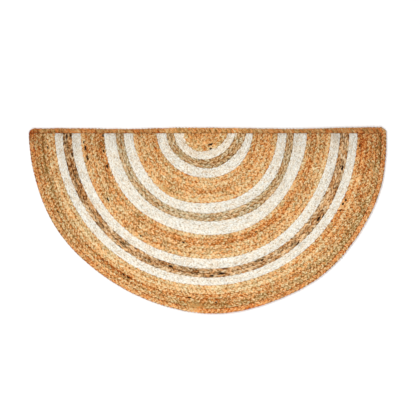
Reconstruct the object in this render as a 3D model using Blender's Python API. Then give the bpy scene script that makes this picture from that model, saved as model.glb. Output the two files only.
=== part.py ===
"""Half-round braided jute doormat.

A coil of three-strand braid, sewn row to row in colour bands and cut across the
middle, with one closed loop of braid sewn round its edge.

Metres, +Z up. The mat lies flat with its underside at z = 0, the straight edge
towards +Y and the curved edge towards -Y. The origin is the middle of the mat's
bounding box, on the floor. Sizes below are millimetres. Angles run round the
curved edge, from the right end at 0 through the front at 90 to the left end at 180.
"""
import math
from collections import namedtuple

import bmesh
import bpy
import numpy as np

MM = 0.001

# Braid, millimetres
EDGE_BRAID_WIDTH = 12.0
EDGE_BRAID_HEIGHT = 9.0
EDGE_SHOULDER_HEIGHT = 8.2
EDGE_SHOULDER_SHARE = 0.25
EDGE_SIDE_HEIGHT = 4.6
CREST_HEIGHT = 8.0
VALLEY_HEIGHT = 5.4
PIECE_GAP = 0.3

# The straight cut passes this far in front of the rings' common centre
CUT_DEPTH = 4.5
CORNER_RADIUS = 15.0

# Where a braid row reaches its full height, as a share of the row's width
CREST_START = 0.26
CREST_END = 0.74

# Mesh steps
CURVE_STEPS = 36
CORNER_STEPS = 4
STRAIGHT_STEPS = 20
CUT_ROUNDS = 12
WELD_DISTANCE = 0.01
SHARP_ANGLE = math.radians(50)

# Base colours, linear RGB
GOLDEN = (0.64, 0.34, 0.14)
DEEP_GOLDEN = (0.62, 0.29, 0.10)
CREAM = (0.83, 0.74, 0.61)
TAN = (0.50, 0.32, 0.17)
BROWN = (0.45, 0.25, 0.11)
JUTE_ROUGHNESS = 0.9

# Each colour band has its number of braid rows and the radius of its inner side
# about the rings' centre, at 0, 30, 60, 90, 120, 150 and 180 degrees
Band = namedtuple("Band", "name rows colour at_0 at_30 at_60 at_90 at_120 at_150 at_180")
BANDS = (
    Band("centre_coil", 4, GOLDEN, 0, 0, 0, 0, 0, 0, 0),
    Band("cream_band_1", 2, CREAM, 53, 49, 48, 49, 57, 61, 68),
    Band("tan_band_1", 2, TAN, 71, 69, 68, 71, 76, 81, 83),
    Band("cream_band_2", 2, CREAM, 98, 93, 92, 94, 94, 100, 102),
    Band("golden_band_1", 5, GOLDEN, 115, 116, 118, 118, 120, 124, 127),
    Band("cream_band_3", 2, CREAM, 178, 179, 183, 181, 188, 184, 186),
    Band("tan_band_2", 2, TAN, 200, 205, 207, 207, 210, 210, 209),
    Band("cream_band_4", 3, CREAM, 218, 224, 231, 227, 231, 230, 229),
    Band("golden_band_2", 5, GOLDEN, 251, 252, 262, 261, 260, 261, 258),
    Band("cream_band_5", 2, CREAM, 311, 311, 321, 321, 321, 318, 317),
    Band("brown_band", 2, BROWN, 334, 336, 345, 346, 343, 341, 340),
    Band("cream_band_6", 2, CREAM, 357, 361, 367, 368, 365, 362, 362),
    Band("golden_band_3", 5, GOLDEN, 378, 383, 388, 388, 386, 383, 382),
)

# Radius of the mat's curved edge, every 15 degrees from the right end to the left
OUTLINE_RADII = (450, 457, 460, 463, 461, 459, 458, 451, 447, 448, 450, 447, 447)

# How far the straight edge stands behind the rings' centre, evenly spaced stations
# from the right corner to the left
STRAIGHT_EDGE_OFFSETS = (9.7, 8.2, 5.8, 7.2, 8.4, 7.6, 5.3, 7.2, 6.8)


def clear_scene():
    for old in list(bpy.data.objects):
        bpy.data.objects.remove(old, do_unlink=True)


def smooth_through(values):
    """Return a smooth function of an angle in 0..pi through evenly spaced values."""
    orders = np.arange(len(values))
    stations = np.linspace(0, math.pi, len(values))
    weights = np.linalg.solve(np.cos(np.outer(stations, orders)), np.array(values, float))
    return lambda angle: float(np.cos(angle * orders) @ weights)


def between(inner, outer, share):
    """Return the radius curve that lies at a share of the way from inner to outer."""
    return lambda angle: inner(angle) + (outer(angle) - inner(angle)) * share


def shifted(radius, offset):
    """Return a radius curve moved outward by a fixed offset."""
    return lambda angle: radius(angle) + offset


def cut_angle(radius, depth, left):
    """Return the angle at which a radius curve meets the straight cut."""
    angle = 0.0
    for _ in range(CUT_ROUNDS):
        angle = math.asin(depth / radius(math.pi - angle if left else angle))
    return math.pi - angle if left else angle


def curve_angles(radius, depth):
    """Return evenly spaced angles along a radius curve, from cut to cut."""
    start = cut_angle(radius, depth, left=False)
    end = cut_angle(radius, depth, left=True)
    return np.linspace(start, end, CURVE_STEPS + 1)


def polar(radius, angle):
    """Return the flat position of one point of a radius curve."""
    return radius(angle) * math.cos(angle), -radius(angle) * math.sin(angle)


def row_profile(rows):
    """Return (share of the band's width, height) across a band's rounded rows."""
    profile = []
    for row in range(rows):
        profile.append((row / rows, VALLEY_HEIGHT))
        profile.append(((row + CREST_START) / rows, CREST_HEIGHT))
        profile.append(((row + CREST_END) / rows, CREST_HEIGHT))
    profile.append((1.0, VALLEY_HEIGHT))
    return profile


def add_line(bm, points, height):
    return [bm.verts.new((x * MM, y * MM, height * MM)) for x, y in points]


def add_strip(bm, first, second):
    """Join two equally long lines of vertices with quads."""
    for step in range(len(first) - 1):
        bm.faces.new((first[step], first[step + 1], second[step + 1], second[step]))


def band_mesh(name, inner, outer, rows):
    """Build a half-ring of braid rows, from the inner radius curve to the outer.

    The band at the very middle has no inner side: its first row is filled in.
    """
    filled = inner(0.0) == 0
    depth = CUT_DEPTH + PIECE_GAP
    valley_and_crest = 2
    profile = row_profile(rows)
    if filled:
        profile = profile[valley_and_crest:]
    bm = bmesh.new()
    lines = []
    for share, height in profile:
        curve = between(inner, outer, share)
        points = [polar(curve, angle) for angle in curve_angles(curve, depth)]
        lines.append(add_line(bm, points, height))
    outer_floor = add_line(bm, [polar(outer, angle) for angle in curve_angles(outer, depth)], 0)
    lines.append(outer_floor)
    if not filled:
        inner_points = [polar(inner, angle) for angle in curve_angles(inner, depth)]
        lines.insert(0, add_line(bm, inner_points, 0))
    for first, second in zip(lines, lines[1:]):
        add_strip(bm, first, second)
    right_end = [line[0] for line in lines]
    left_end = [line[-1] for line in lines]
    if filled:
        bm.faces.new(lines[0])
        bm.faces.new(outer_floor)
        bm.faces.new(right_end[::-1] + left_end)
    else:
        add_strip(bm, outer_floor, lines[0])
        bm.faces.new(right_end)
        bm.faces.new(left_end)
    return finish_mesh(bm, name)


def corner_arc(centre_x, centre_y, start):
    """Return the points of a rounded quarter corner, a quarter turn from start."""
    turns = np.linspace(start, start + math.pi / 2, CORNER_STEPS + 1)
    return [
        (centre_x + CORNER_RADIUS * math.cos(turn), centre_y + CORNER_RADIUS * math.sin(turn))
        for turn in turns
    ]


def edge_loop_sides():
    """Return the outer and inner side of the edge braid as two closed lines.

    Both go round together: the right corner, the straight edge from right to left,
    the left corner, and the curved edge back to the right.
    """
    outline = smooth_through(OUTLINE_RADII)
    inner_side = shifted(outline, -EDGE_BRAID_WIDTH)
    straight = smooth_through(STRAIGHT_EDGE_OFFSETS)
    right_x = outline(0.0) - CORNER_RADIUS
    left_x = CORNER_RADIUS - outline(math.pi)
    inner_right = polar(inner_side, cut_angle(inner_side, CUT_DEPTH, left=False))
    inner_left = polar(inner_side, cut_angle(inner_side, CUT_DEPTH, left=True))

    outer_line = corner_arc(right_x, straight(0.0) - CORNER_RADIUS, 0.0)
    inner_line = [inner_right] * (CORNER_STEPS + 1)
    for step in range(1, STRAIGHT_STEPS):
        share = step / STRAIGHT_STEPS
        outer_line.append((right_x + (left_x - right_x) * share, straight(math.pi * share)))
        inner_line.append((inner_right[0] + (inner_left[0] - inner_right[0]) * share, -CUT_DEPTH))
    outer_line += corner_arc(left_x, straight(math.pi) - CORNER_RADIUS, math.pi / 2)
    inner_line += [inner_left] * (CORNER_STEPS + 1)
    band_side = shifted(inner_side, -PIECE_GAP)
    for angle in curve_angles(band_side, CUT_DEPTH + PIECE_GAP)[-2:0:-1]:
        outer_line.append(polar(outline, angle))
        inner_line.append(polar(inner_side, angle))
    return outer_line, inner_line


def edge_braid_mesh(name):
    """Build the closed loop of edge braid, rounded on top and flat underneath."""
    profile = (
        (0.0, 0.0),
        (0.0, EDGE_SIDE_HEIGHT),
        (EDGE_SHOULDER_SHARE, EDGE_SHOULDER_HEIGHT),
        (0.5, EDGE_BRAID_HEIGHT),
        (1.0 - EDGE_SHOULDER_SHARE, EDGE_SHOULDER_HEIGHT),
        (1.0, EDGE_SIDE_HEIGHT),
        (1.0, 0.0),
    )
    outer_line, inner_line = edge_loop_sides()
    bm = bmesh.new()
    lines = []
    for share, height in profile:
        points = [
            (near[0] + (far[0] - near[0]) * share, near[1] + (far[1] - near[1]) * share)
            for near, far in zip(inner_line, outer_line)
        ]
        lines.append(add_line(bm, points, height))
    for first, second in zip(lines, lines[1:] + lines[:1]):
        add_strip(bm, first + first[:1], second + second[:1])
    bmesh.ops.remove_doubles(bm, verts=bm.verts, dist=WELD_DISTANCE * MM)
    return finish_mesh(bm, name)


def finish_mesh(bm, name):
    """Face every side outward and shade the rounded braid smooth."""
    bmesh.ops.recalc_face_normals(bm, faces=bm.faces)
    mesh = bpy.data.meshes.new(name)
    bm.to_mesh(mesh)
    bm.free()
    mesh.shade_smooth()
    mesh.set_sharp_from_angle(angle=SHARP_ANGLE)
    return mesh


def jute_material(name, colour):
    material = bpy.data.materials.new(name)
    material.use_nodes = True
    shader = material.node_tree.nodes["Principled BSDF"]
    shader.inputs["Base Color"].default_value = (*colour, 1.0)
    shader.inputs["Roughness"].default_value = JUTE_ROUGHNESS
    shader.inputs["Metallic"].default_value = 0.0
    return material


def add_piece(name, mesh, colour, parent):
    piece = bpy.data.objects.new(name, mesh)
    piece.parent = parent
    mesh.materials.append(jute_material(name + "_jute", colour))
    bpy.context.scene.collection.objects.link(piece)


def rings_centre():
    """Add the empty at the rings' common centre, which the pieces hang from."""
    outer_line, _ = edge_loop_sides()
    low = np.min(outer_line, axis=0)
    high = np.max(outer_line, axis=0)
    middle = (low + high) / 2
    centre = bpy.data.objects.new("rings_centre", None)
    centre.location = (-middle[0] * MM, -middle[1] * MM, 0.0)
    bpy.context.scene.collection.objects.link(centre)
    return centre


def build_mat():
    clear_scene()
    centre = rings_centre()
    first_radius = Band._fields.index("at_0")
    edges = [smooth_through(band[first_radius:]) for band in BANDS]
    edges.append(shifted(smooth_through(OUTLINE_RADII), -EDGE_BRAID_WIDTH))
    for band, inner, outer in zip(BANDS, edges, edges[1:]):
        mesh = band_mesh(band.name, inner, shifted(outer, -PIECE_GAP), band.rows)
        add_piece(band.name, mesh, band.colour, centre)
    add_piece("edge_braid", edge_braid_mesh("edge_braid"), DEEP_GOLDEN, centre)


build_mat()
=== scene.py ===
import math
from collections import namedtuple

import bpy
import numpy as np
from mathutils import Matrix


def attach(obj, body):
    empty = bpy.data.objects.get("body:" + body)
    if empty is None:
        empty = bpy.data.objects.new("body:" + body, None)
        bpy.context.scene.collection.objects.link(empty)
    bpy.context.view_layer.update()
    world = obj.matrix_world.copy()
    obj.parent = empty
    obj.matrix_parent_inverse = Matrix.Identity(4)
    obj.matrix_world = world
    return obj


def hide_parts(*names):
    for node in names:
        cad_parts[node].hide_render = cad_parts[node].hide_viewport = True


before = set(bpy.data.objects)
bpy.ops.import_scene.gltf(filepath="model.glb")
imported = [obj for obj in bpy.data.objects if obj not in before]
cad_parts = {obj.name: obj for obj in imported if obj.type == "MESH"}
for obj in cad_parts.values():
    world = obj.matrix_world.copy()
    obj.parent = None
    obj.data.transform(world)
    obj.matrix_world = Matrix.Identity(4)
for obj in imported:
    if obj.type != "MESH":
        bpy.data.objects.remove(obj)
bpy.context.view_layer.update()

# Half-round braided jute doormat. Lengths are millimetres, and become metres where
# a mesh, light or camera is made. Places are given about the rings' common centre,
# with angles from the right end (0) through the front (90) to the left end (180).
MM = 0.001
TAU = 2 * math.pi

# The rings' common centre in the frame, and the cut that passes in front of it
CENTRE_X = -1.5
CENTRE_Y = 224.15
CUT_DEPTH = 4.5
TUCK_UNDER_BORDER = 2.3
INNERMOST_RADIUS = 2.6

# One braid: three strands that swing from side to side and pass over each other.
# Shares are of the row's width, and length is that of one swing there and back.
STRANDS = 3
SWING = 0.28
STRAND_HALF_WIDTH = 0.25
STRAND_FULLNESS = 0.6
ROW_WIDTH = 11.6
Braid = namedtuple("Braid", "width length middle over strand")
ROW_BRAID = Braid(width=ROW_WIDTH, length=33.0, middle=4.2, over=1.0, strand=1.9)
CREAM_BRAID = ROW_BRAID._replace(length=34.0)
LOOSE_BRAID = ROW_BRAID._replace(length=43.5)
EDGE_BRAID = Braid(width=12.0, length=33.8, middle=4.8, over=1.2, strand=2.2)
BORDER_LENGTH = 39.0
JOIN_ABOVE_MIDDLE = 1.2
JOIN_BELOW_MIDDLE = 0.8
BARE_RISE = -10.0
LOWEST = 0.05

# A row near the middle is plaited tighter, to have a few plaits
SHORTEST_PLAIT = 18.0
FEWEST_PLAITS = 3

# The border along the straight edge leans over it, so its middle shows off centre
EDGE_MIDDLE_SHARE = 0.5
BORDER_MIDDLE_SHARE = 0.86
BORDER_PULL = 0.6
SEAM_GAP = 0.3
CORNER_RADIUS = 15.0
CORNER_STEPS = 24
STRAIGHT_STEPS = 900

# Unevenness of hand-sewn rows
ROW_WANDER = 0.6
BAND_WANDER = 0.25
EDGE_WANDER = 0.3
BUMP_WANDER = 0.75
HEIGHT_WANDER = 0.045
PITCH_WANDER = 0.07
PITCH_SPREAD = 0.05
TONE_WANDER = 0.04

# The waves that it comes in. A row's number is added to the seed
Drift = namedtuple("Drift", "seed wavelength")
SEAM_DRIFT = Drift(1000, 110)
BUMP_DRIFT = Drift(2000, 12)
PITCH_DRIFT = Drift(3000, 90)
HEIGHT_DRIFT = Drift(4000, 70)
TONE_DRIFT = Drift(5000, 80)
EDGE_SEAM_DRIFT = Drift(1000, 60)
EDGE_BUMP_DRIFT = Drift(2000, 10)
EDGE_NUMBER = 900
DRIFT_WAVES = 5
DRIFT_SPREAD = (0.6, 1.7)
DRIFT_GAIN = 1.7
PLAIT_SEED = 500
MOST_START_TURNS = 60

# How many rows in from its sides a band is lighter, where strands of two bands mingle
SIDE_REACH = 0.25

# Rows thin out where they are sewn under the border
END_THINNING = 0.5
END_LENGTH = 9.0

# How the solids' walls are read: the floor's level, how squarely a wall faces its way,
# and the number of cosines that its curve is fitted with
FLOOR_LEVEL = 0.1
RING_FACING = 0.7
BACK_FACING = 0.985
INNER_WALL_WAVES = 7
OUTER_WALL_WAVES = 13
BACK_WALL_WAVES = 9

# Mesh steps
TABLE_STEPS = 6000
EDGE_TABLE_STEP = 12
CUT_TRIES = 14
LEAD_RADIUS = 30.0
STATION = 1.4
EDGE_STATION = 1.25
TOP_COLUMNS = 10
UNDER_COLUMNS = 5
EDGE_TOP_COLUMNS = 14
EDGE_UNDER_COLUMNS = 6
COLUMNS_CROWD = 0.6
SMOOTHED_STATIONS = 5
STRAIGHTEN_LENGTH = 16.0
BAND_OVERLAP = 0.15

# The flat layout that a piece's finish is baked on, in shares of its square. The two cut
# ends lie side by side along its top, and show these turns of a braid and this part of
# its width (where it begins, and how much)
LAYOUT_GAP = 0.012
CAP_ROOM = 0.02
CAP_LEFTS = (0.01, 0.51)
CAP_WIDTH = 0.48
CAP_TOP = 0.9
CAP_HEIGHT = 0.8
CAP_TURNS = 2
CAP_ACROSS = (0.3, 0.4)
UNDER_LAYOUT_SHARE = 0.5
WALL_LAYOUT_WIDTH = 1.0

# Places in a row are kept this far inside it, so that its number can be read from them
INSET = 0.002
WALL_INSET = 0.22

# Bands from the middle out: braid rows, jute, and the tone of each row (0.5 is medium)
Band = namedtuple("Band", "node rows jute tones")
BANDS = (
    Band("centre_coil", 4, "golden", (0.55, 0.43, 0.53, 0.53)),
    Band("cream_band_1", 2, "cream", (0.50, 0.57)),
    Band("tan_band_1", 2, "tan", (0.44, 0.45)),
    Band("cream_band_2", 2, "cream", (0.53, 0.57)),
    Band("golden_band_1", 5, "golden", (0.47, 0.58, 0.61, 0.55, 0.59)),
    Band("cream_band_3", 2, "cream", (0.62, 0.59)),
    Band("tan_band_2", 2, "tan", (0.52, 0.56)),
    Band("cream_band_4", 3, "cream", (0.59, 0.64, 0.67)),
    Band("golden_band_2", 5, "golden", (0.51, 0.45, 0.57, 0.54, 0.62)),
    Band("cream_band_5", 2, "cream", (0.63, 0.57)),
    Band("brown_band", 2, "brown", (0.44, 0.43)),
    Band("cream_band_6", 2, "cream", (0.59, 0.64)),
    Band("golden_band_3", 5, "golden", (0.54, 0.65, 0.43, 0.40, 0.36)),
)

# The edge braid's tone, and how the border along the straight edge differs from it
Change = namedtuple("Change", "tone warmth calm")
EDGE_TONE = 0.50
BORDER_CHANGE = Change(-0.10, -0.12, 0.40)

# Dark roots and bark left in each band's jute: the place across the band counted in
# rows, the angle round the mat, and the length and width
Fleck = namedtuple("Fleck", "across degrees length width")
FLECKS = {
    "centre_coil": [(2.95, 75.5, 9, 3.6), (3.78, 78, 5, 3.2)],
    "golden_band_2": [
        (4.43, 174.7, 6, 3), (4.23, 172, 10, 3.6), (4.23, 167.3, 9, 3.2),
        (0.5, 160.3, 8, 3.4), (0.55, 169, 6, 3), (0.25, 177.5, 6, 3), (3.6, 145.3, 8, 3.2),
        (4.19, 122.3, 5, 2.4), (2.2, 102, 7, 3), (1.58, 64, 4, 2.4),
    ],
    "brown_band": [
        (0.67, 105, 7, 3.6), (1.55, 88, 8, 3.4), (1.25, 84.2, 12, 3.6),
        (1.52, 15.2, 10, 3.8), (1.5, 38.2, 11, 4.2), (1.88, 36.4, 5, 2.6),
        (1.95, 127.2, 8, 2.8), (1.73, 51.2, 6, 2.6), (0.55, 66.9, 7, 2.8),
        (0.3, 170, 8, 3.2), (1.1, 177.5, 9, 3.4), (0.29, 178, 6, 3), (0.94, 163, 7, 2.8),
    ],
    "golden_band_3": [
        (3.19, 118.2, 8, 3.2), (3.17, 120.3, 6, 2.8), (2.92, 96, 7, 3.2),
        (3.41, 53, 4, 2.6), (3.27, 129, 4, 2.4), (3.68, 87, 4, 2.4), (0.35, 28.2, 6, 2.8),
        (0.5, 26.4, 5, 2.8), (0.55, 30.7, 4, 2.2), (0.6, 5.5, 5, 2.6), (1.94, 174, 7, 3.2),
        (3.93, 151.5, 4, 2.4),
    ],
}
FLECK_COLOUR = (44, 24, 10)

# Where bleached jute begins before its own row, told in the same way
BLEACHED = {
    "centre_coil": [(4, 175, 16, 9.5), (4, 161, 14, 5)],
    "tan_band_1": [(0, 5.5, 14, 6)],
}
BLEACHED_TONE = 0.05

# Stretches where the jute is lighter or darker, warmer or duller, or calm and smooth
# where one plait is joined to the next. Under each band and place across it in rows: the
# middle's angle and the angle covered, the changes, and the number of rows covered
Patch = namedtuple("Patch", "degrees span tone warmth rows calm", defaults=(0, 1.2, 0))
PATCHES = {
    "centre_coil": {
        2: [(90, 400, 0, 0, 8, 0.3)],
        2.5: [
            (14, 16, 0.25, -0.1), (103, 24, 0.22, 0.15), (155, 36, -0.22, -0.15),
            (57, 12, -0.16, 0.15), (85, 9, 0, -0.25),
        ],
        3.5: [
            (32, 34, -0.18, -0.3), (67, 12, 0.18), (95, 10, -0.3, -0.05),
            (113, 20, 0, -0.2), (150, 60, 0.06, -0.22),
        ],
    },
    "cream_band_1": {
        0.5: [(110, 16, 0.14), (158, 10, -0.2), (176, 8, 0.25)],
        1: [(90, 400, 0, 0.4, 3)],
        1.5: [(67, 40, 0.18), (4, 10, 0.2, -0.3)],
    },
    "tan_band_1": {
        0.5: [
            (27, 22, 0.24), (79, 18, 0.16, 0.1), (155, 26, 0.14, 0.08), (51, 10, 0.26),
            (105, 8, 0.14),
        ],
        1: [(138, 9, -0.05, -0.3, 1.6, 0.8)],
        1.5: [
            (49, 12, -0.28, 0.25), (88, 9, 0.26), (104, 11, -0.16, 0.15), (22, 14, 0.14),
            (75, 8, -0.14), (130, 10, 0.18),
        ],
    },
    "golden_band_1": {
        0.5: [(54, 20, 0.16), (155, 11, -0.14, 0.2), (130, 10, -0.18)],
        1: [(90, 24, 0.24, -0.05, 2.4)],
        1.5: [(130, 12, 0.18, -0.1), (4, 10, -0.18, 0.25), (157, 12, 0.12, -0.2)],
        2.5: [(90, 400, 0, 0, 9, 0.1), (139, 9, -0.22)],
        2.6: [(88, 46, -0.3, 0, 0.5)],
        3.5: [(13, 16, 0, 0.28), (36, 18, 0.18), (140, 9, 0.2)],
        3.9: [(121, 8, -0.12, -0.3)],
        4.2: [(95, 44, 0.22, -0.2, 1.6)],
        4.5: [
            (176, 10, -0.18), (127, 7, -0.15, -0.4, 1.2, 0.7), (51, 7, 0.14),
            (104, 10, -0.14),
        ],
    },
    "tan_band_2": {
        0.5: [(63, 20, 0.14), (98, 46, 0.14, -0.22), (11, 10, 0.12)],
        1: [(4, 14, 0, 0.35, 3)],
        1.5: [(111, 12, 0.2, -0.2), (4, 8, -0.2, 0.25), (149, 7, 0.2)],
    },
    "golden_band_2": {
        0.5: [
            (3, 7, -0.18), (50, 30, 0.18), (101, 16, 0.2), (95, 140, 0, -0.2),
            (168, 26, -0.24, 0.2),
        ],
        1.5: [
            (58, 120, 0, 0.28), (77, 10, -0.2), (58, 10, -0.16), (112, 10, 0, 0.25),
            (139, 10, 0.16),
        ],
        2.5: [(90, 400, 0, -0.16)],
        3.5: [(67, 36, 0.13), (174, 16, -0.16)],
        4.5: [(16, 20, 0.18), (90, 18, 0.12, -0.2)],
    },
    "cream_band_5": {
        0.5: [(4, 6, -0.15, 0.4)],
        1.1: [(3, 5, -0.22, -0.3, 1.8, 0.6)],
    },
    "brown_band": {
        0.5: [
            (24, 44, 0.22), (94, 10, -0.24, 0.1), (150, 34, -0.06, 0.1),
            (168, 24, 0.08, 0.1),
        ],
        1.5: [
            (133, 60, 0.14), (76, 28, 0.15), (5, 8, 0.2), (31, 8, 0.24), (49, 8, 0.28),
            (166, 12, -0.16),
        ],
    },
    "golden_band_3": {
        0.5: [
            (4, 12, -0.3, 0.2), (25, 46, -0.04, 0.25), (94, 30, 0.2), (95, 90, 0, -0.18),
            (148, 46, 0, -0.28), (130, 8, 0.14), (13, 8, 0.14), (112, 8, -0.14),
        ],
        1.5: [(6, 18, -0.24, 0.45), (130, 46, 0.16), (68, 22, 0.12, -0.22)],
        2.5: [(49, 9, 0.2), (76, 9, 0.14), (113, 20, 0.14), (140, 48, 0.14)],
        3: [
            (124, 24, -0.32, 0.3, 0.5), (167, 30, -0.22, -0.1, 0.7),
            (158, 46, -0.02, -0.3, 2.2),
        ],
        3.5: [(8, 40, 0, 0.25), (38, 54, 0.08), (86, 12, -0.14), (121, 10, -0.24)],
        4.3: [(40, 80, -0.04, -0.35, 1.6)],
        4.5: [
            (63, 10, 0.14, 0.1), (93, 26, -0.1, -0.2), (93, 7, -0.03, 0.06, 1.2, 0.85),
            (122, 44, 0.22),
        ],
        4.9: [(5, 9, -0.45, -0.3, 0.7)],
    },
}

# The same for the edge braid, by the middle of each stretch and its length
EdgePatch = namedtuple("EdgePatch", "x y length tone warmth calm", defaults=(0, 0))
EDGE_PATCHES = (
    (388, -233, 70, 0.12), (71, -447, 140, 0, 0.28), (-25, -452, 26, 0.05, -0.1, 0.6),
    (-110, -430, 340, 0, -0.12), (-170, -420, 210, 0.12), (-384, -240, 70, 0, -0.3),
    (-450, -35, 70, -0.14), (-447, -6, 10, -0.6, 0.5), (-430, 5, 24, -0.09, 0.4),
    (-385, 5, 90, -0.07), (-318, 5, 70, 0.14), (-218, 5, 60, 0.1),
    (-68, 5, 60, 0.04, -0.28), (16, 5, 70, -0.08), (132, 5, 260, 0.09, -0.12),
    (436, 5, 40, -0.06, 0.1),
)
MARKS = ("tone", "warmth", "calm", "fleck", "bleach", "soil")
CALM_RISE = 2.1
FLECK_FALL = 0.4
PATCH_FALL = 0.7

# The jute is darker and browner towards the straight edge: painted shade that grows from
# the front to that edge, with more darkening at that edge's two ends and on the left
MAT_DEPTH = 463.0
DARKENING_COLOUR = (64, 38, 18)
PAINTED_SHADE_AT_CUT = 0.12
DARKENING_AT_ENDS = 0.20
DARKENING_ENDS_FROM = 80.0
DARKENING_ENDS_SOFT = 60.0
DARKENING_REACH = 42.0
DARKENING_AT_LEFT = 0.05
DARKENING_LEFT_FROM = 230.0
DARKENING_LEFT_SOFT = 120.0

# Jute finishes: sRGB colours of dark, medium and light fibre, once for its warm and
# once for its dull fibres, and how much the tone changes from strand to strand, from
# one pass of a strand to the next, from fibre to fibre, and as painted shade in creases,
# then how much the passes differ in warmth, and how much lighter a band's two sides are
Jute = namedtuple("Jute", "slot braid warm dull strand passing fibre crease hue side")
JUTES = {
    "golden": Jute(
        "golden_jute", ROW_BRAID,
        warm=((150, 56, 0), (233, 149, 69), (253, 207, 144)),
        dull=((117, 79, 20), (204, 169, 111), (245, 228, 187)),
        strand=0.06, passing=0.28, fibre=2.90, crease=0.80, hue=0.70, side=0.15,
    ),
    "edge": Jute(
        "deep_golden_jute", EDGE_BRAID,
        warm=((148, 48, 0), (230, 132, 56), (254, 190, 120)),
        dull=((114, 76, 20), (200, 156, 96), (242, 214, 166)),
        strand=0.06, passing=0.26, fibre=2.80, crease=0.75, hue=0.45, side=0.00,
    ),
    "cream": Jute(
        "cream_jute", CREAM_BRAID,
        warm=((184, 148, 108), (240, 224, 200), (255, 250, 234)),
        dull=((168, 154, 130), (231, 226, 212), (252, 252, 246)),
        strand=0.04, passing=0.18, fibre=2.80, crease=0.20, hue=0.75, side=0.07,
    ),
    "tan": Jute(
        "tan_jute", LOOSE_BRAID,
        warm=((122, 66, 12), (202, 150, 89), (242, 208, 164)),
        dull=((96, 74, 32), (182, 159, 117), (234, 221, 190)),
        strand=0.06, passing=0.28, fibre=2.90, crease=0.90, hue=0.90, side=0.15,
    ),
    "brown": Jute(
        "brown_jute", LOOSE_BRAID,
        warm=((90, 38, 0), (204, 138, 74), (250, 210, 158)),
        dull=((66, 44, 18), (190, 156, 110), (243, 220, 186)),
        strand=0.18, passing=0.54, fibre=2.40, crease=0.65, hue=0.95, side=0.15,
    ),
}
# Painted light and shade by depth below the crest: lighter on the crowns, darker in the
# creases. The level where it turns, and the deepest that counts
CREASE_SHADE_LEVEL = 0.1
DEEPEST_CREASE_SHADE = 0.8
PATCH_CONTRAST = 0.25
HUE_CONTRAST = 2.2

# The fibres' streaks: how fine they are along and across a strand, how they slant, and
# how far apart those of each strand, row and hue are drawn, so that all differ
FIBRE_ALONG = 8.0
FIBRE_ACROSS = 1.8
FIBRE_SLANT = 5.0
PATCH_ALONG = 1.3
HUE_FINENESS = 0.7
STRANDS_APART = 7.3
ROWS_APART = 3.1
HUES_APART = 31.0
PASS_START = 0.25
STRAND_DRAW = 3.0
HUE_DRAW = 11.0

# The edges of dark and bleached spots: how ragged, where they begin and how sharp
Spot = namedtuple("Spot", "ragged begin sharp")
BLEACHED_SPOT = Spot(0.6, 0.3, 5.0)
FLECK_SPOT = Spot(1.6, 0.2, 4.0)
FLECK_LEAST = 0.05

# Surface of the fibres
FIBRE_RELIEF = 0.7
STRAND_RELIEF = 0.3
BUMP_STRENGTH = 0.7
BUMP_HEIGHT = 0.9
LEAST_ROUGH = 0.75
FIBRE_ROUGH = 0.2
GLOSS = 0.1

# How sharply a strand's finish ends at its sides, and how deep it counts beyond them, where
# the painted crease shade is darkest
STRAND_SHARPNESS = 1000.0
BARE_DEPTH = 20.0

# Stage, and its square lights: the place, the side's length and the power
VIEW_WIDTH = 1055.0
VIEW_CENTRE = (6.0, 25.7)
CAMERA_HEIGHT = 6000.0
SENSOR_WIDTH = 36.0
FLOOR_SIZE = 12000.0
FLOOR_SHADE = (0.96, 0.96, 0.96)
WORLD_STRENGTH = 0.42
Light = namedtuple("Light", "name place size watts")
LIGHTS = (
    Light("key_light", (-800, 1000, 2300), 900, 33),
    Light("overhead_light", (400, -1200, 2500), 1600, 34),
)


def drift(kind, number, loop=None):
    """Return a row's smooth random function of its length, about -1 to 1.

    With loop, the function comes round to itself after that length.
    """
    draw = np.random.default_rng(kind.seed + number)
    waves = kind.wavelength * draw.uniform(*DRIFT_SPREAD, DRIFT_WAVES)
    if loop:
        waves = loop / np.maximum(1, np.round(loop / waves))
    starts = draw.uniform(0, TAU, DRIFT_WAVES)

    def value(length):
        turns = np.multiply.outer(length, TAU / waves) + starts
        return np.sin(turns).mean(axis=-1) * DRIFT_GAIN

    return value


def cosine_curve(angles, values, count):
    """Return a smooth function of an angle that fits values with a few cosines."""
    orders = np.arange(count)
    weights = np.linalg.lstsq(np.cos(np.outer(angles, orders)), values, rcond=None)[0]
    return lambda angle: np.cos(np.multiply.outer(angle, orders)) @ weights


def floor_points(node, facing):
    """Return the floor points of a node's upright walls whose normals pass a test.

    facing takes a wall's middle, about the rings' centre, and its normal.
    """
    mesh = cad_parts[node].data
    places = set()
    for face in mesh.polygons:
        middle = (face.center.x / MM - CENTRE_X, face.center.y / MM - CENTRE_Y)
        if not facing(middle, face.normal):
            continue
        for index in face.vertices:
            point = mesh.vertices[index].co
            if point.z < FLOOR_LEVEL * MM:
                places.add((point.x / MM - CENTRE_X, point.y / MM - CENTRE_Y))
    return np.array(sorted(places))


def wall_radius(node, side, count):
    """Return the radius curve of a band's inner (side -1) or outer (side 1) wall."""

    def facing(middle, normal):
        reach = math.hypot(*middle)
        outward = side * (middle[0] * normal.x + middle[1] * normal.y)
        return outward > RING_FACING * reach

    x, y = floor_points(node, facing).T
    return cosine_curve(np.arctan2(-y, x), np.hypot(x, y), count)


def running_total(steps):
    return np.concatenate([[0.0], np.cumsum(steps)])


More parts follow.
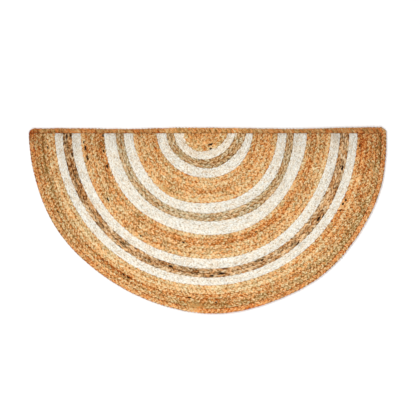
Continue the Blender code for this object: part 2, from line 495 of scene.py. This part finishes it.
class Rings:
    """Row boundaries of the whole mat as radius tables over one fine grid of angles."""

    def __init__(self):
        self.angles = np.linspace(0, math.pi, TABLE_STEPS + 1)
        walls = [(band.node, -1, INNER_WALL_WAVES) for band in BANDS[1:]]
        walls.append((BANDS[-1].node, 1, OUTER_WALL_WAVES))
        edges = [np.zeros_like(self.angles)]
        edges += [wall_radius(*wall)(self.angles) for wall in walls]
        self.outer_wall = edges[-1]
        self.boundaries = []
        self.first_boundary = {}
        for band, inner, outer in zip(BANDS, edges, edges[1:]):
            self.first_boundary[band.node] = len(self.boundaries)
            for row in range(band.rows):
                radius = inner + (outer - inner) * row / band.rows
                wander = BAND_WANDER if row == 0 else ROW_WANDER
                self.boundaries.append(self.uneven(radius, wander))
        self.boundaries.append(self.uneven(self.outer_wall, BAND_WANDER))

    def uneven(self, radius, wander):
        """Add the wander of hand sewing and the bumps of the strands to a boundary."""
        if radius.max() == 0:
            return radius
        number = len(self.boundaries)
        length = radius * self.angles
        slow = drift(SEAM_DRIFT, number)(length) * wander
        return radius + slow + drift(BUMP_DRIFT, number)(length) * BUMP_WANDER

    def sides(self, band):
        """Return the radius tables of a band's inner and outer side."""
        first = self.first_boundary[band.node]
        return self.boundaries[first], self.boundaries[first + band.rows]

    def radius(self, boundary, angle):
        return np.interp(angle, self.angles, self.boundaries[boundary])

    def lengths(self, boundary):
        """Return the path length up to each angle, midway along one row."""
        radius = (self.boundaries[boundary] + self.boundaries[boundary + 1]) / 2
        steps = np.hypot(np.diff(radius), radius[1:] * np.diff(self.angles))
        return running_total(steps)


def steepness(braid):
    """Return how far sideways a strand goes for each step along, where it is steepest."""
    return TAU * SWING * braid.width / braid.length


def plait_rise(turns, sideways, braid):
    """Return how far the top strand stands above the braid's middle level.

    turns counts a strand's swings from side to side and back. sideways is the place
    across the row, from -0.5 to 0.5.
    """
    slope = steepness(braid)
    rise = np.full(np.broadcast(turns, sideways).shape, BARE_RISE)
    for strand in range(STRANDS):
        angle = TAU * (turns + strand / STRANDS)
        spread = np.sqrt(1 + (slope * np.cos(angle)) ** 2)
        away = (sideways - SWING * np.sin(angle)) / (STRAND_HALF_WIDTH * spread)
        fullness = np.clip(1 - away**2, 0, 1) ** STRAND_FULLNESS
        height = braid.over * np.sin(2 * angle) + braid.strand * fullness
        rise = np.where(np.abs(away) < 1, np.maximum(rise, height), rise)
    return rise


def braid_height(turns, sideways, braid, calm, upper):
    """Return the height of a braid's upper surface, or of its under surface.

    Calm braid is flatter on top. Underneath, the same strands show the other way round.
    """
    if not upper:
        rise = plait_rise(-turns, -sideways, braid)
        return braid.over + braid.strand + LOWEST - np.maximum(rise, JOIN_BELOW_MIDDLE)
    rise = plait_rise(turns, sideways, braid)
    height = braid.middle + np.maximum(rise, JOIN_ABOVE_MIDDLE)
    return height + (braid.middle + CALM_RISE - height) * np.clip(calm, 0, 1)


def strand_lead(sideways):
    """Return how far, in turns, an outward strand has gone when it is that far out."""
    return np.arcsin(np.clip(np.abs(sideways) / SWING, 0, 1)) / TAU


def smooth_step(value):
    share = np.clip(value, 0, 1)
    return share * share * (3 - 2 * share)


class Skin:
    """One closed surface of braid: a ring of lines of points that run along the rows."""

    def __init__(self, name, closed):
        self.name = name
        self.closed = closed
        self.points = []
        self.marks = {mark: [] for mark in MARKS}
        self.strips = []
        self.walls = []

    def wrap(self, top, under, rows, width):
        """Close the skin round a number of rows.

        top and under are the lines and strips of its surfaces, from the inner side out,
        and width is the skin's own. A wall joins them at each side.
        """
        for line in top[0] + under[0][::-1]:
            self.add_line(line)
        for turns, across in top[1]:
            self.add_strip(turns, across, width / len(top[1]))
        self.add_wall(top[0][-1], rows - INSET, rows - WALL_INSET)
        for turns, across in under[1][::-1]:
            under_width = UNDER_LAYOUT_SHARE * width / len(under[1])
            self.add_strip(turns[::-1], across[::-1], under_width)
        self.add_wall(top[0][0], WALL_INSET, INSET)

    def add_line(self, line):
        """Add one line of points. A closed line's last point is its first one again."""
        kept = slice(-1) if self.closed else slice(None)
        x, y = line.x[kept], line.y[kept]
        self.points.append(np.stack([x + CENTRE_X, y + CENTRE_Y, line.z[kept]], axis=-1))
        for mark in MARKS:
            value = edge_shade_and_darkening(x, y) if mark == "soil" else line.marks[mark][kept]
            self.marks[mark].append(value)

    def add_wall(self, line, near, far):
        self.add_strip((line.turns,) * 2, (near, far), WALL_LAYOUT_WIDTH, wall=True)

    def add_strip(self, turns, across, width, wall=False):
        """Join the next two lines of the ring with faces.

        turns and across are the two lines' places in the braid, and width is the
        strip's share of the height of the layout that its finish is baked on. A wall
        meets its neighbours at sharp edges.
        """
        near, far = (
            np.stack([turn, np.broadcast_to(place, turn.shape)], axis=-1)
            for turn, place in zip(turns, across)
        )
        self.strips.append((near, far, width))
        self.walls.append(wall)

    def build(self):
        count = len(self.points[0])
        steps = count if self.closed else count - 1
        here = np.arange(steps)
        there = (here + 1) % count
        total = sum(strip[-1] for strip in self.strips)
        pieces = self.layout_pieces(total)
        per_piece = math.ceil(steps / pieces)
        piece = here // per_piece
        cap_room = 0 if self.closed else CAP_ROOM
        piece_height = (1 - cap_room) / pieces
        left = LAYOUT_GAP + (1 - 2 * LAYOUT_GAP) * (here - piece * per_piece) / per_piece
        right = left + (1 - 2 * LAYOUT_GAP) / per_piece
        faces, plait, bake = [], [], []
        reached = 0.0
        for number, (near, far, width) in enumerate(self.strips):
            a = number * count
            b = (number + 1) % len(self.points) * count
            faces.append(np.stack([a + here, a + there, b + there, b + here], axis=-1))
            places = near[here], near[here + 1], far[here + 1], far[here]
            plait.append(np.stack(places, axis=1))
            low = self.layout_height(piece, piece_height, reached / total)
            reached += width
            high = self.layout_height(piece, piece_height, reached / total)
            corners = ((left, low), (right, low), (right, high), (left, high))
            bake.append(np.stack([np.stack(corner, axis=-1) for corner in corners], axis=1))
        return self.make_mesh(*map(np.concatenate, (faces, plait, bake)))

    def layout_pieces(self, total):
        """Return how many pieces the long strip is laid out in, to fill a square."""
        line = self.points[0]
        length = np.linalg.norm(np.diff(line, axis=0), axis=1).sum()
        return max(1, round(math.sqrt(length / total)))

    def layout_height(self, piece, piece_height, share):
        return piece_height * (piece + LAYOUT_GAP + (1 - 2 * LAYOUT_GAP) * share)

    def make_mesh(self, faces, plait, bake):
        points = np.concatenate(self.points) * MM
        face_list = faces.tolist()
        plait = plait.reshape(-1, 2)
        bake = bake.reshape(-1, 2)
        if not self.closed:
            for far_end in (False, True):
                corners, cap_plait, cap_bake = self.end_cap(points, far_end)
                face_list.append(corners)
                plait = np.concatenate([plait, cap_plait])
                bake = np.concatenate([bake, cap_bake])
        mesh = bpy.data.meshes.new(self.name)
        mesh.from_pydata(points.tolist(), [], face_list)
        for layer, values in (("plait", plait), ("OFBake", bake)):
            uv = mesh.uv_layers.new(name=layer)
            uv.uv.foreach_set("vector", values.astype(np.float32).ravel())
        for mark, values in self.marks.items():
            data = mesh.attributes.new(mark, "FLOAT", "POINT").data
            data.foreach_set("value", np.concatenate(values).astype(np.float32))
        smooth = np.repeat(np.logical_not(self.walls), len(faces) // len(self.walls))
        smooth = np.append(smooth, np.ones(len(face_list) - len(faces), dtype=bool))
        mesh.polygons.foreach_set("use_smooth", smooth)
        mesh.update()
        return mesh

    def end_cap(self, points, far_end):
        """Return a cut end's corners, with their places in the braid and the layout."""
        count = len(self.points[0])
        starts = [line * count for line in range(len(self.points))]
        corners = [start + count - 1 for start in starts[::-1]] if far_end else starts
        spot = points[corners] / MM
        flat = (spot[:, 0] - spot[:, 0].min()) / np.ptp(spot[:, 0])
        tall = spot[:, 2] / spot[:, 2].max()
        low, reach = CAP_ACROSS
        plait = np.stack([flat * CAP_TURNS, tall * reach + low], axis=-1)
        layout_height = 1 - CAP_ROOM * (CAP_TOP - tall * CAP_HEIGHT)
        bake = np.stack([CAP_LEFTS[far_end] + flat * CAP_WIDTH, layout_height], axis=-1)
        return corners, plait, bake


def edge_shade_and_darkening(x, y):
    """Return how much darker the jute is: painted shade towards the straight edge, and more at
    its ends and on the left.
    """
    depth = np.clip(-y, 0, MAT_DEPTH)
    aside = smooth_step((np.abs(x) - DARKENING_ENDS_FROM) / DARKENING_ENDS_SOFT)
    ends = DARKENING_AT_ENDS * np.exp(-depth / DARKENING_REACH) * aside
    left = DARKENING_AT_LEFT * smooth_step((-x - DARKENING_LEFT_FROM) / DARKENING_LEFT_SOFT)
    return PAINTED_SHADE_AT_CUT * (1 - depth / MAT_DEPTH) + ends + left


def add_change(marks, change, share):
    """Add changes to colour marks, in full where share is 1."""
    for mark in Change._fields:
        marks[mark] = marks[mark] + getattr(change, mark) * share


def edge_marks(x, y):
    """Return the colour marks that its patches give a line of the edge braid."""
    marks = {mark: np.zeros_like(x) for mark in MARKS}
    for patch in (EdgePatch(*row) for row in EDGE_PATCHES):
        away = np.hypot(x - patch.x, y - patch.y) / (patch.length / 2)
        add_change(marks, patch, np.exp(-PATCH_FALL * away**2))
    return marks


def inside_row(share):
    """Keep a place on its own side of a seam, so that its row can be read from it."""
    return np.clip(share, INSET, 1 - INSET)


# One line of points along a braid, with its places in the braid and its colour marks
Line = namedtuple("Line", "x y z turns across marks")

# One row: its path lengths, the length and start of its plaits, and their unevenness
Row = namedtuple("Row", "lengths pitch start hurry lift shade")


class BandRows:
    """The rows of one colour band, from its inner side out."""

    def __init__(self, rings, band):
        self.rings = rings
        self.band = band
        self.first = rings.first_boundary[band.node]
        self.braid = JUTES[band.jute].braid
        self.depth = CUT_DEPTH - TUCK_UNDER_BORDER
        draw = np.random.default_rng(PLAIT_SEED + self.first)
        self.rows = [self.make_row(self.first + row, draw) for row in range(band.rows)]
        steps = math.ceil(self.rows[-1].lengths[-1] / STATION)
        self.stations = np.linspace(0, 1, steps + 1)

    def make_row(self, number, draw):
        lengths = self.rings.lengths(number)
        tightest = max(SHORTEST_PLAIT, lengths[-1] / FEWEST_PLAITS)
        plait_length = min(self.braid.length, tightest)
        return Row(
            lengths,
            pitch=plait_length * draw.uniform(1 - PITCH_SPREAD, 1 + PITCH_SPREAD),
            start=draw.uniform(0, MOST_START_TURNS),
            hurry=drift(PITCH_DRIFT, number),
            lift=drift(HEIGHT_DRIFT, number),
            shade=drift(TONE_DRIFT, number),
        )

    def radius(self, row, share, angle):
        """Return the radius at a share of a row's width."""
        near = self.rings.radius(self.first + row, angle)
        far = self.rings.radius(self.first + row + 1, angle)
        radius = near + (far - near) * share
        if row == 0 and share == 0:
            radius = radius - BAND_OVERLAP
        if row == self.band.rows - 1 and share == 1:
            radius = radius + BAND_OVERLAP
        return np.maximum(radius, INNERMOST_RADIUS)

    def cut_angle(self, row, share, left):
        """Return the angle at which a line is cut off under the border."""
        angle = 0.0
        for _ in range(CUT_TRIES):
            radius = self.radius(row, share, math.pi - angle if left else angle)
            angle = math.asin(min(1.0, self.depth / radius))
        return math.pi - angle if left else angle

    def line(self, row, share, upper):
        """Return one line of points along a row, set forward as its strands lean."""
        start = self.cut_angle(row, share, False)
        end = self.cut_angle(row, share, True)
        angles = start + (end - start) * self.stations
        radius = self.radius(row, share, angles)
        room = np.minimum(self.stations, 1 - self.stations) * radius * (end - start)
        lead = strand_lead(share - 0.5) * self.braid.length
        lead = lead * smooth_step(room / STRAIGHTEN_LENGTH)
        angles = angles + lead / np.maximum(radius, LEAD_RADIUS)
        radius = self.radius(row, share, angles)
        facts = self.rows[row]
        length = np.interp(angles, self.rings.angles, facts.lengths)
        turns = facts.start + length / facts.pitch + PITCH_WANDER * facts.hurry(length)
        marks = self.marks(row + share, angles, length, facts.lengths)
        tone = self.band.tones[row] + self.side_light(row + share)
        marks["tone"] = marks["tone"] + (tone + TONE_WANDER * facts.shade(length))
        thin = smooth_step((radius * np.sin(angles) - self.depth) / END_LENGTH)
        thin = END_THINNING + (1 - END_THINNING) * thin
        z = braid_height(turns, share - 0.5, self.braid, marks["calm"], upper)
        z = z * thin * (1 + HEIGHT_WANDER * facts.lift(length))
        x, y = radius * np.cos(angles), -radius * np.sin(angles)
        return Line(x, y, z, turns, row + inside_row(share), marks)

    def marks(self, across, angles, length, lengths):
        """Return the colour marks that the band's spots and patches give a line."""
        marks = {mark: np.zeros_like(angles) for mark in MARKS}
        node = self.band.node
        for mark, spots in (("fleck", FLECKS), ("bleach", BLEACHED)):
            for spot in (Fleck(*row) for row in spots.get(node, ())):
                middle = np.interp(math.radians(spot.degrees), self.rings.angles, lengths)
                along = (length - middle) / (spot.length / 2)
                beside = (across - spot.across) * ROW_WIDTH / (spot.width / 2)
                share = np.exp(-FLECK_FALL * (along**4 + beside**4))
                marks[mark] = np.maximum(marks[mark], share)
        for middle, rows in PATCHES.get(node, {}).items():
            for patch in (Patch(*row) for row in rows):
                along = (np.degrees(angles) - patch.degrees) / (patch.span / 2)
                beside = (across - middle) / (patch.rows / 2)
                add_change(marks, patch, np.exp(-PATCH_FALL * (along**2 + beside**2)))
        return marks

    def side_light(self, across):
        """Return how much lighter the band is at a place across it, beside its sides."""
        beside = min(across, self.band.rows - across)
        return JUTES[self.band.jute].side * math.exp(-((beside / SIDE_REACH) ** 2))

    def surface(self, columns, upper):
        """Return the lines and strips of the upper or under surface."""
        shares = [column / columns for column in range(columns + 1)]
        rows = range(self.band.rows)
        grids = [[self.line(row, share, upper) for share in shares] for row in rows]
        strips = []
        for row, grid in enumerate(grids):
            strips += strips_between(grid, row, upper)
        for inner, outer in zip(grids, grids[1:]):
            join_rows(inner[-1], outer[0], upper)
        lines = grids[0] + [line for grid in grids[1:] for line in grid[1:]]
        return lines, strips


def strips_between(lines, row, upper):
    """Return the places in the braid of the strips between one row's lines.

    Underneath, the same braid shows the other way round.
    """
    if upper:
        places = [(line.turns, line.across) for line in lines]
    else:
        places = [(-line.turns, 2 * row + 1 - line.across) for line in lines]
    return [tuple(zip(near, far)) for near, far in zip(places, places[1:])]


def join_rows(line, other, upper):
    """Give a line the height and marks that it shares with the next row's first line."""
    line.z[:] = (np.maximum if upper else np.minimum)(line.z, other.z)
    for mark in MARKS:
        line.marks[mark][:] = (line.marks[mark] + other.marks[mark]) / 2


def band_skin(rings, band):
    """Build one colour band: rows of braid side by side, cut off under the border."""
    rows = BandRows(rings, band)
    skin = Skin(band.node + "_braid", closed=False)
    top = rows.surface(TOP_COLUMNS, True)
    under = rows.surface(UNDER_COLUMNS, False)
    inner, outer = rings.sides(band)
    skin.wrap(top, under, band.rows, (outer - inner).mean())
    return skin


def straight_back():
    """Return the straight edge's y as a function of x, read from the border's wall."""

    def facing(middle, normal):
        return normal.y > BACK_FACING and middle[1] > 0

    x, y = floor_points("edge_braid", facing).T
    low, high = x.min(), x.max()
    curve = cosine_curve((x - low) / (high - low) * math.pi, y, BACK_WALL_WAVES)
    return low, high, lambda at: curve((at - low) / (high - low) * math.pi)


def edge_sides(rings):
    """Return the inner and outer side of the edge braid as evenly spaced closed lines.

    The lean goes from 0 on the curve to 1 on the border along the straight edge.
    """
    angles = rings.angles[::EDGE_TABLE_STEP]
    inner_radius = rings.boundaries[-1][::EDGE_TABLE_STEP]
    outer_radius = rings.outer_wall[::EDGE_TABLE_STEP] + EDGE_BRAID.width + SEAM_GAP
    first = math.asin(CUT_DEPTH / inner_radius[0])
    last = math.pi - math.asin(CUT_DEPTH / inner_radius[-1])
    on_curve = (angles > first) & (angles < last)
    ring = np.stack([np.cos(angles), -np.sin(angles)], axis=-1)[on_curve]
    inner_curve = inner_radius[on_curve, None] * ring
    outer_curve = outer_radius[on_curve, None] * ring
    left_x, right_x, back = straight_back()

    def corner(x, y, start):
        turn = np.linspace(start, start - math.pi / 2, CORNER_STEPS)
        way = np.stack([np.cos(turn), np.sin(turn)], axis=-1)
        return (x, y) + CORNER_RADIUS * way

    left_corner = corner(left_x, back(left_x) - CORNER_RADIUS, math.pi)
    right_corner = corner(right_x, back(right_x) - CORNER_RADIUS, math.pi / 2)
    share = np.linspace(0, 1, STRAIGHT_STEPS)[1:-1]
    outer_x = left_x + (right_x - left_x) * share
    outer_straight = np.stack([outer_x, back(outer_x) - BORDER_PULL], axis=-1)
    left_end, right_end = inner_curve[-1], inner_curve[0]
    inner_straight = left_end + (right_end - left_end) * share[:, None]
    stretches = (
        (inner_curve, outer_curve, np.zeros(len(ring))),
        (np.tile(left_end, (CORNER_STEPS, 1)), left_corner, np.linspace(0, 1, CORNER_STEPS)),
        (inner_straight, outer_straight, np.ones(len(share))),
        (np.tile(right_end, (CORNER_STEPS, 1)), right_corner, np.linspace(1, 0, CORNER_STEPS)),
    )
    inner, outer, lean = map(np.concatenate, zip(*stretches))
    middle = (inner + outer) / 2
    steps = np.linalg.norm(np.diff(middle, axis=0, append=middle[:1]), axis=1)
    reached = running_total(steps)
    loop = reached[-1]
    count = round(loop / EDGE_STATION)
    at = np.arange(count) * loop / count

    def even(values):
        resampled = np.interp(at, reached, np.append(values, values[0]))
        padded = np.pad(resampled, SMOOTHED_STATIONS // 2, mode="wrap")
        kernel = np.hanning(SMOOTHED_STATIONS + 2)[1:-1]
        return np.convolve(padded, kernel / kernel.sum(), "valid")

    inner, outer = (np.stack([even(x), even(y)], axis=-1) for x, y in (inner.T, outer.T))
    return inner, outer, even(lean), loop


def edge_skin(rings):
    """Build the closed loop of braid round the mat's edge."""
    braid = EDGE_BRAID
    skin = Skin("edge_braid_loop", closed=True)
    inner, outer, lean, loop = edge_sides(rings)
    count = len(inner)
    station = loop / count
    lengths = np.arange(count + 1) * station
    pitch = braid.length + (BORDER_LENGTH - braid.length) * np.append(lean, lean[0])
    turns_along = running_total(station / pitch[:-1])
    turns_along *= round(turns_along[-1]) / turns_along[-1]
    hurry, lift, shade, wander, bumps = (
        drift(kind, EDGE_NUMBER, loop)
        for kind in (PITCH_DRIFT, HEIGHT_DRIFT, TONE_DRIFT, EDGE_SEAM_DRIFT, EDGE_BUMP_DRIFT)
    )
    turns_along = turns_along + PITCH_WANDER * hurry(lengths)
    rounds = turns_along[-1] - turns_along[0]

    def at_station(values, where):
        """Read an evenly spaced closed line between its stations."""
        where = where % count
        low = np.floor(where).astype(int) % count
        share = where - np.floor(where)
        if values.ndim > 1:
            share = share[:, None]
        return values[low] * (1 - share) + values[(low + 1) % count] * share

    def turns_at(where):
        turns = np.interp(where % count, np.arange(count + 1), turns_along)
        return turns + rounds * np.floor(where / count)

    middle_share = EDGE_MIDDLE_SHARE + (BORDER_MIDDLE_SHARE - EDGE_MIDDLE_SHARE) * lean

    def sideways_at(share, where):
        """Return the place across the braid, whose middle may show off centre."""
        centre = at_station(middle_share, where)
        near = 0.5 * share / centre - 0.5
        far = 0.5 * (share - centre) / (1 - centre)
        return np.where(share < centre, near, far)

    def surface(columns, upper):
        lines = []
        for column in range(columns + 1):
            crowded = 0.5 - 0.5 * math.cos(math.pi * column / columns)
            share = COLUMNS_CROWD * crowded + (1 - COLUMNS_CROWD) * column / columns
            lead = strand_lead(share - 0.5) * braid.length / station
            where = np.arange(count + 1) + lead
            near = at_station(inner, where)
            far = at_station(outer, where)
            outward = far - near
            width = np.linalg.norm(outward, axis=1)[:, None]
            length = where * station
            uneven = (EDGE_WANDER * wander(length) + BUMP_WANDER * bumps(length)) * share
            x, y = (near + outward * share + outward / width * uneven[:, None]).T
            sideways = sideways_at(share, where)
            turns = turns_at(where)
            marks = edge_marks(x, y)
            marks["tone"] = marks["tone"] + EDGE_TONE + TONE_WANDER * shade(length)
            add_change(marks, BORDER_CHANGE, at_station(lean, where))
            z = braid_height(turns, sideways, braid, marks["calm"], upper)
            z = z * (1 + HEIGHT_WANDER * lift(length))
            lines.append(Line(x, y, z, turns, inside_row(sideways + 0.5), marks))
        return lines, strips_between(lines, 0, upper)

    top = surface(EDGE_TOP_COLUMNS, True)
    under = surface(EDGE_UNDER_COLUMNS, False)
    skin.wrap(top, under, 1, np.linalg.norm(outer - inner, axis=1).mean())
    return skin, loop


def operator(operation):
    """Return the method that adds a Math node for an operator."""
    return lambda flow, other: flow.math(operation, other)


class Flow:
    """One output of a material's node. Sums and products on it add Math nodes."""

    def __init__(self, recipe, socket):
        self.recipe = recipe
        self.socket = socket

    def math(self, operation, *others):
        return self.recipe.node("ShaderNodeMath", {"operation": operation}, [self, *others])

    def __rsub__(self, other):
        return self.recipe.node("ShaderNodeMath", {"operation": "SUBTRACT"}, [other, self])

    __add__ = __radd__ = operator("ADD")
    __sub__ = operator("SUBTRACT")
    __mul__ = __rmul__ = operator("MULTIPLY")
    __truediv__ = operator("DIVIDE")
    __pow__ = operator("POWER")
    __gt__ = operator("GREATER_THAN")


# Sockets that share their names with others: the colour ones of a Mix node, and an
# Attribute node's output as a number
MIX_INPUTS = (0, 6, 7)
MIX_OUTPUT = 2
NUMBER_OUTPUT = 2


class Recipe:
    """A material that is written down node by node."""

    def __init__(self, name):
        self.material = bpy.data.materials.new(name)
        self.material.use_nodes = True
        self.tree = self.material.node_tree
        self.shader = self.tree.nodes["Principled BSDF"]

    def node(self, kind, settings=None, values=(), output=0):
        """Add a node, set it up, then give its sockets values or links.

        values is a list for the first sockets in order, or a mapping by socket.
        """
        node = self.tree.nodes.new(kind)
        for key, setting in (settings or {}).items():
            if key == "stops":
                self.set_stops(node.color_ramp, setting)
            else:
                setattr(node, key, setting)
        pairs = values.items() if isinstance(values, dict) else enumerate(values)
        for key, value in pairs:
            self.feed(node.inputs[key], value)
        return Flow(self, node.outputs[output])

    def feed(self, socket, value):
        if isinstance(value, Flow):
            self.tree.links.new(value.socket, socket)
        else:
            socket.default_value = value

    def finish(self, values):
        """Give the shader's sockets values or links."""
        for name, value in values.items():
            self.feed(self.shader.inputs[name], value)

    def set_stops(self, ramp, stops):
        while len(ramp.elements) < len(stops):
            ramp.elements.new(1.0)
        for element, (position, colour) in zip(ramp.elements, stops):
            element.position = position
            element.color = colour

    def shaded(self, tone, colours):
        """Turn a tone into a colour between a dark, a medium and a light one."""
        last = len(colours) - 1
        stops = [(number / last, linear(colour)) for number, colour in enumerate(colours)]
        return self.node("ShaderNodeValToRGB", {"stops": stops}, {"Fac": tone})

    def mixed(self, share, first, second):
        settings = {"data_type": "RGBA"}
        values = dict(zip(MIX_INPUTS, (share, first, second)))
        return self.node("ShaderNodeMix", settings, values, MIX_OUTPUT)

    def mark(self, name):
        """Return one of the colour marks that the surface's points carry."""
        settings = {"attribute_name": name}
        return self.node("ShaderNodeAttribute", settings, output=NUMBER_OUTPUT)

    def random(self, *numbers):
        """Return a random number from 0 to 1 for each combination of whole numbers."""
        vector = self.node("ShaderNodeCombineXYZ", values=numbers)
        return self.node("ShaderNodeTexWhiteNoise", values={"Vector": vector})

    def noise(self, *numbers):
        """Return smooth noise at a place, from 0 to 1 and about 0.5."""
        vector = self.node("ShaderNodeCombineXYZ", values=numbers)
        values = {"Vector": vector, "Scale": 1.0, "Detail": 1.0, "Roughness": 0.5}
        return self.node("ShaderNodeTexNoise", values=values)


def linear(colour):
    """Turn an sRGB colour, 0 to 255, into a linear one with full alpha."""

    def channel(value):
        share = value / 255
        return share / 12.92 if share <= 0.04045 else ((share + 0.055) / 1.055) ** 2.4

    return (*(channel(value) for value in colour), 1.0)


def shown_strand(recipe, turns, sideways, braid):
    """Return where on the top strand a point lies.

    The values are its height above the middle, the strand's own turns, the place across
    it from -1 to 1, and the strand's number. They follow the same rule as the surface.
    """
    best = None
    for strand in range(STRANDS):
        own_turns = turns + strand / STRANDS
        angle = own_turns * TAU
        swing = angle.math("SINE")
        cosine = angle.math("COSINE")
        slope = cosine * steepness(braid)
        spread = (slope * slope + 1).math("SQRT")
        away = (sideways - swing * SWING) / (spread * STRAND_HALF_WIDTH)
        inside = (1 - away * away).math("MAXIMUM", 0.0)
        height = swing * cosine * (2 * braid.over) + (inside ** STRAND_FULLNESS) * braid.strand
        bare = (inside * -STRAND_SHARPNESS + 1.0).math("MAXIMUM", 0.0)
        height = height - bare * BARE_DEPTH
        if best is None:
            best = [height, own_turns, away, own_turns * 0.0]
            continue
        higher = height > best[0]
        best[0] = height.math("MAXIMUM", best[0])
        best[1] = best[1] + higher * (own_turns - best[1])
        best[2] = best[2] + higher * (away - best[2])
        best[3] = best[3] + higher * (strand - best[3])
    return best


def spot_share(mark, fibre, spot):
    """Return how much of a spot shows, 0 to 1, with an edge that follows the fibres."""
    share = (mark - (fibre - 0.5) * spot.ragged - spot.begin) * spot.sharp
    return share.math("MINIMUM", 1.0).math("MAXIMUM", 0.0)


def jute_material(jute):
    """Plaited jute: strands of slightly different tone, streaked along their fibres."""
    recipe = Recipe(jute.slot)
    place = recipe.node("ShaderNodeUVMap", {"uv_map": "plait"})
    turns = recipe.node("ShaderNodeSeparateXYZ", values=[place], output=0)
    across = recipe.node("ShaderNodeSeparateXYZ", values=[place], output=1)
    row = across.math("FLOOR")
    sideways = across - row - 0.5
    rise, own_turns, away, strand = shown_strand(recipe, turns, sideways, jute.braid)
    highest = jute.braid.over + jute.braid.strand
    # How deep a point lies below the crest, for the painted light and shade of the creases
    lowness = (1 - rise / highest).math("MINIMUM", DEEPEST_CREASE_SHADE)
    passing = (own_turns * 2 + PASS_START).math("FLOOR")
    lively = 1 - recipe.mark("calm")
    own_layer = strand * STRANDS_APART + row * ROWS_APART
    along = own_turns * FIBRE_ALONG
    slant = away * FIBRE_ACROSS + own_turns * FIBRE_SLANT
    fibre = recipe.noise(along, slant, own_layer)
    patch = recipe.noise(own_turns * PATCH_ALONG, own_layer, 0.0)
    hue = recipe.noise(along * HUE_FINENESS, slant * HUE_FINENESS, own_layer + HUES_APART)
    # The last term is painted light on the strands' crowns and painted shade in the creases
    change = (
        (recipe.random(strand, row, STRAND_DRAW) - 0.5) * jute.strand
        + (recipe.random(passing, strand, row) - 0.5) * jute.passing
        + (fibre - 0.5) * jute.fibre
        + (patch - 0.5) * PATCH_CONTRAST
        + (CREASE_SHADE_LEVEL - lowness * lowness) * jute.crease
    )
    tone = recipe.mark("tone") + change * lively
    warm = recipe.shaded(tone, jute.warm)
    dull = recipe.shaded(tone, jute.dull)
    passing_hue = (recipe.random(passing, row, strand + HUE_DRAW) - 0.5) * jute.hue
    dullness = (hue - 0.5) * HUE_CONTRAST + passing_hue + 0.5 - recipe.mark("warmth")
    colour = recipe.mixed(dullness, warm, dull)
    bleached = recipe.shaded(tone + BLEACHED_TONE, JUTES["cream"].warm)
    paleness = spot_share(recipe.mark("bleach"), fibre, BLEACHED_SPOT)
    colour = recipe.mixed(paleness, colour, bleached)
    fleck = recipe.mark("fleck")
    darkness = spot_share(fleck, fibre, FLECK_SPOT) * (fleck > FLECK_LEAST)
    colour = recipe.mixed(darkness, colour, linear(FLECK_COLOUR))
    # Painted shade towards the straight edge, darker still at its ends and on the left
    colour = recipe.mixed(recipe.mark("soil"), colour, linear(DARKENING_COLOUR))
    relief = (fibre * FIBRE_RELIEF + (1 - away * away) * STRAND_RELIEF) * lively
    values = {"Strength": BUMP_STRENGTH, "Distance": BUMP_HEIGHT * MM, "Height": relief}
    recipe.finish({
        "Base Color": colour,
        "Roughness": fibre * FIBRE_ROUGH + LEAST_ROUGH,
        "Normal": recipe.node("ShaderNodeBump", values=values),
        "Specular IOR Level": GLOSS,
    })
    return recipe.material


def add_object(data):
    thing = bpy.data.objects.new(data.name, data)
    bpy.context.scene.collection.objects.link(thing)
    return thing


def place_piece(mesh, node, material):
    """Put a braid piece in the frame in place of its solid."""
    piece = add_object(mesh)
    mesh.materials.append(material)
    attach(piece, "root")
    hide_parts(node)


def band_size(rings, band):
    """Return a band's flat size in metres, and the area where it is not their product."""
    inner, outer = rings.sides(band)
    if inner.any():
        length = np.trapz((inner + outer) / 2, rings.angles)
        return ((outer - inner).mean() * MM, length * MM), None
    width = np.ptp(outer * np.cos(rings.angles))
    area = np.trapz(outer**2 / 2, rings.angles) * MM * MM
    return (width * MM, outer[TABLE_STEPS // 2] * MM), area


def make_mat():
    rings = Rings()
    materials = {kind: jute_material(jute) for kind, jute in JUTES.items()}
    for band in BANDS:
        size, area = band_size(rings, band)
        mesh = band_skin(rings, band).build()
        place_piece(mesh, band.node, materials[band.jute])
    skin, loop = edge_skin(rings)
    size = (EDGE_BRAID.width * MM, loop * MM)
    place_piece(skin.build(), "edge_braid", materials["edge"])


def add_light(facts):
    """Add a square soft light that is turned to the mat's middle."""
    data = bpy.data.lights.new(facts.name, "AREA")
    data.shape = "SQUARE"
    data.size = facts.size * MM
    data.energy = facts.watts
    light = add_object(data)
    light.location = [value * MM for value in facts.place]
    light.rotation_euler = (-light.location).to_track_quat("-Z", "Y").to_euler()


def make_stage():
    half = FLOOR_SIZE / 2 * MM
    corners = [(-half, -half, 0), (half, -half, 0), (half, half, 0), (-half, half, 0)]
    mesh = bpy.data.meshes.new("studio_floor")
    mesh.from_pydata(corners, [], [(0, 1, 2, 3)])
    recipe = Recipe("studio_floor")
    recipe.finish({
        "Base Color": (*FLOOR_SHADE, 1.0),
        "Roughness": 1.0,
        "Specular IOR Level": 0.0,
    })
    mesh.materials.append(recipe.material)
    add_object(mesh)
    world = bpy.data.worlds.new("studio")
    world.use_nodes = True
    background = world.node_tree.nodes["Background"]
    background.inputs["Color"].default_value = (1.0, 1.0, 1.0, 1.0)
    background.inputs["Strength"].default_value = WORLD_STRENGTH
    bpy.context.scene.world = world
    for facts in LIGHTS:
        add_light(facts)
    bpy.context.scene.view_settings.view_transform = "Standard"


def make_camera():
    data = bpy.data.cameras.new("camera")
    data.sensor_width = SENSOR_WIDTH
    data.lens = SENSOR_WIDTH * CAMERA_HEIGHT / VIEW_WIDTH
    camera = add_object(data)
    camera.location = (VIEW_CENTRE[0] * MM, VIEW_CENTRE[1] * MM, CAMERA_HEIGHT * MM)
    bpy.context.scene.camera = camera


make_stage()
make_camera()
make_mat()
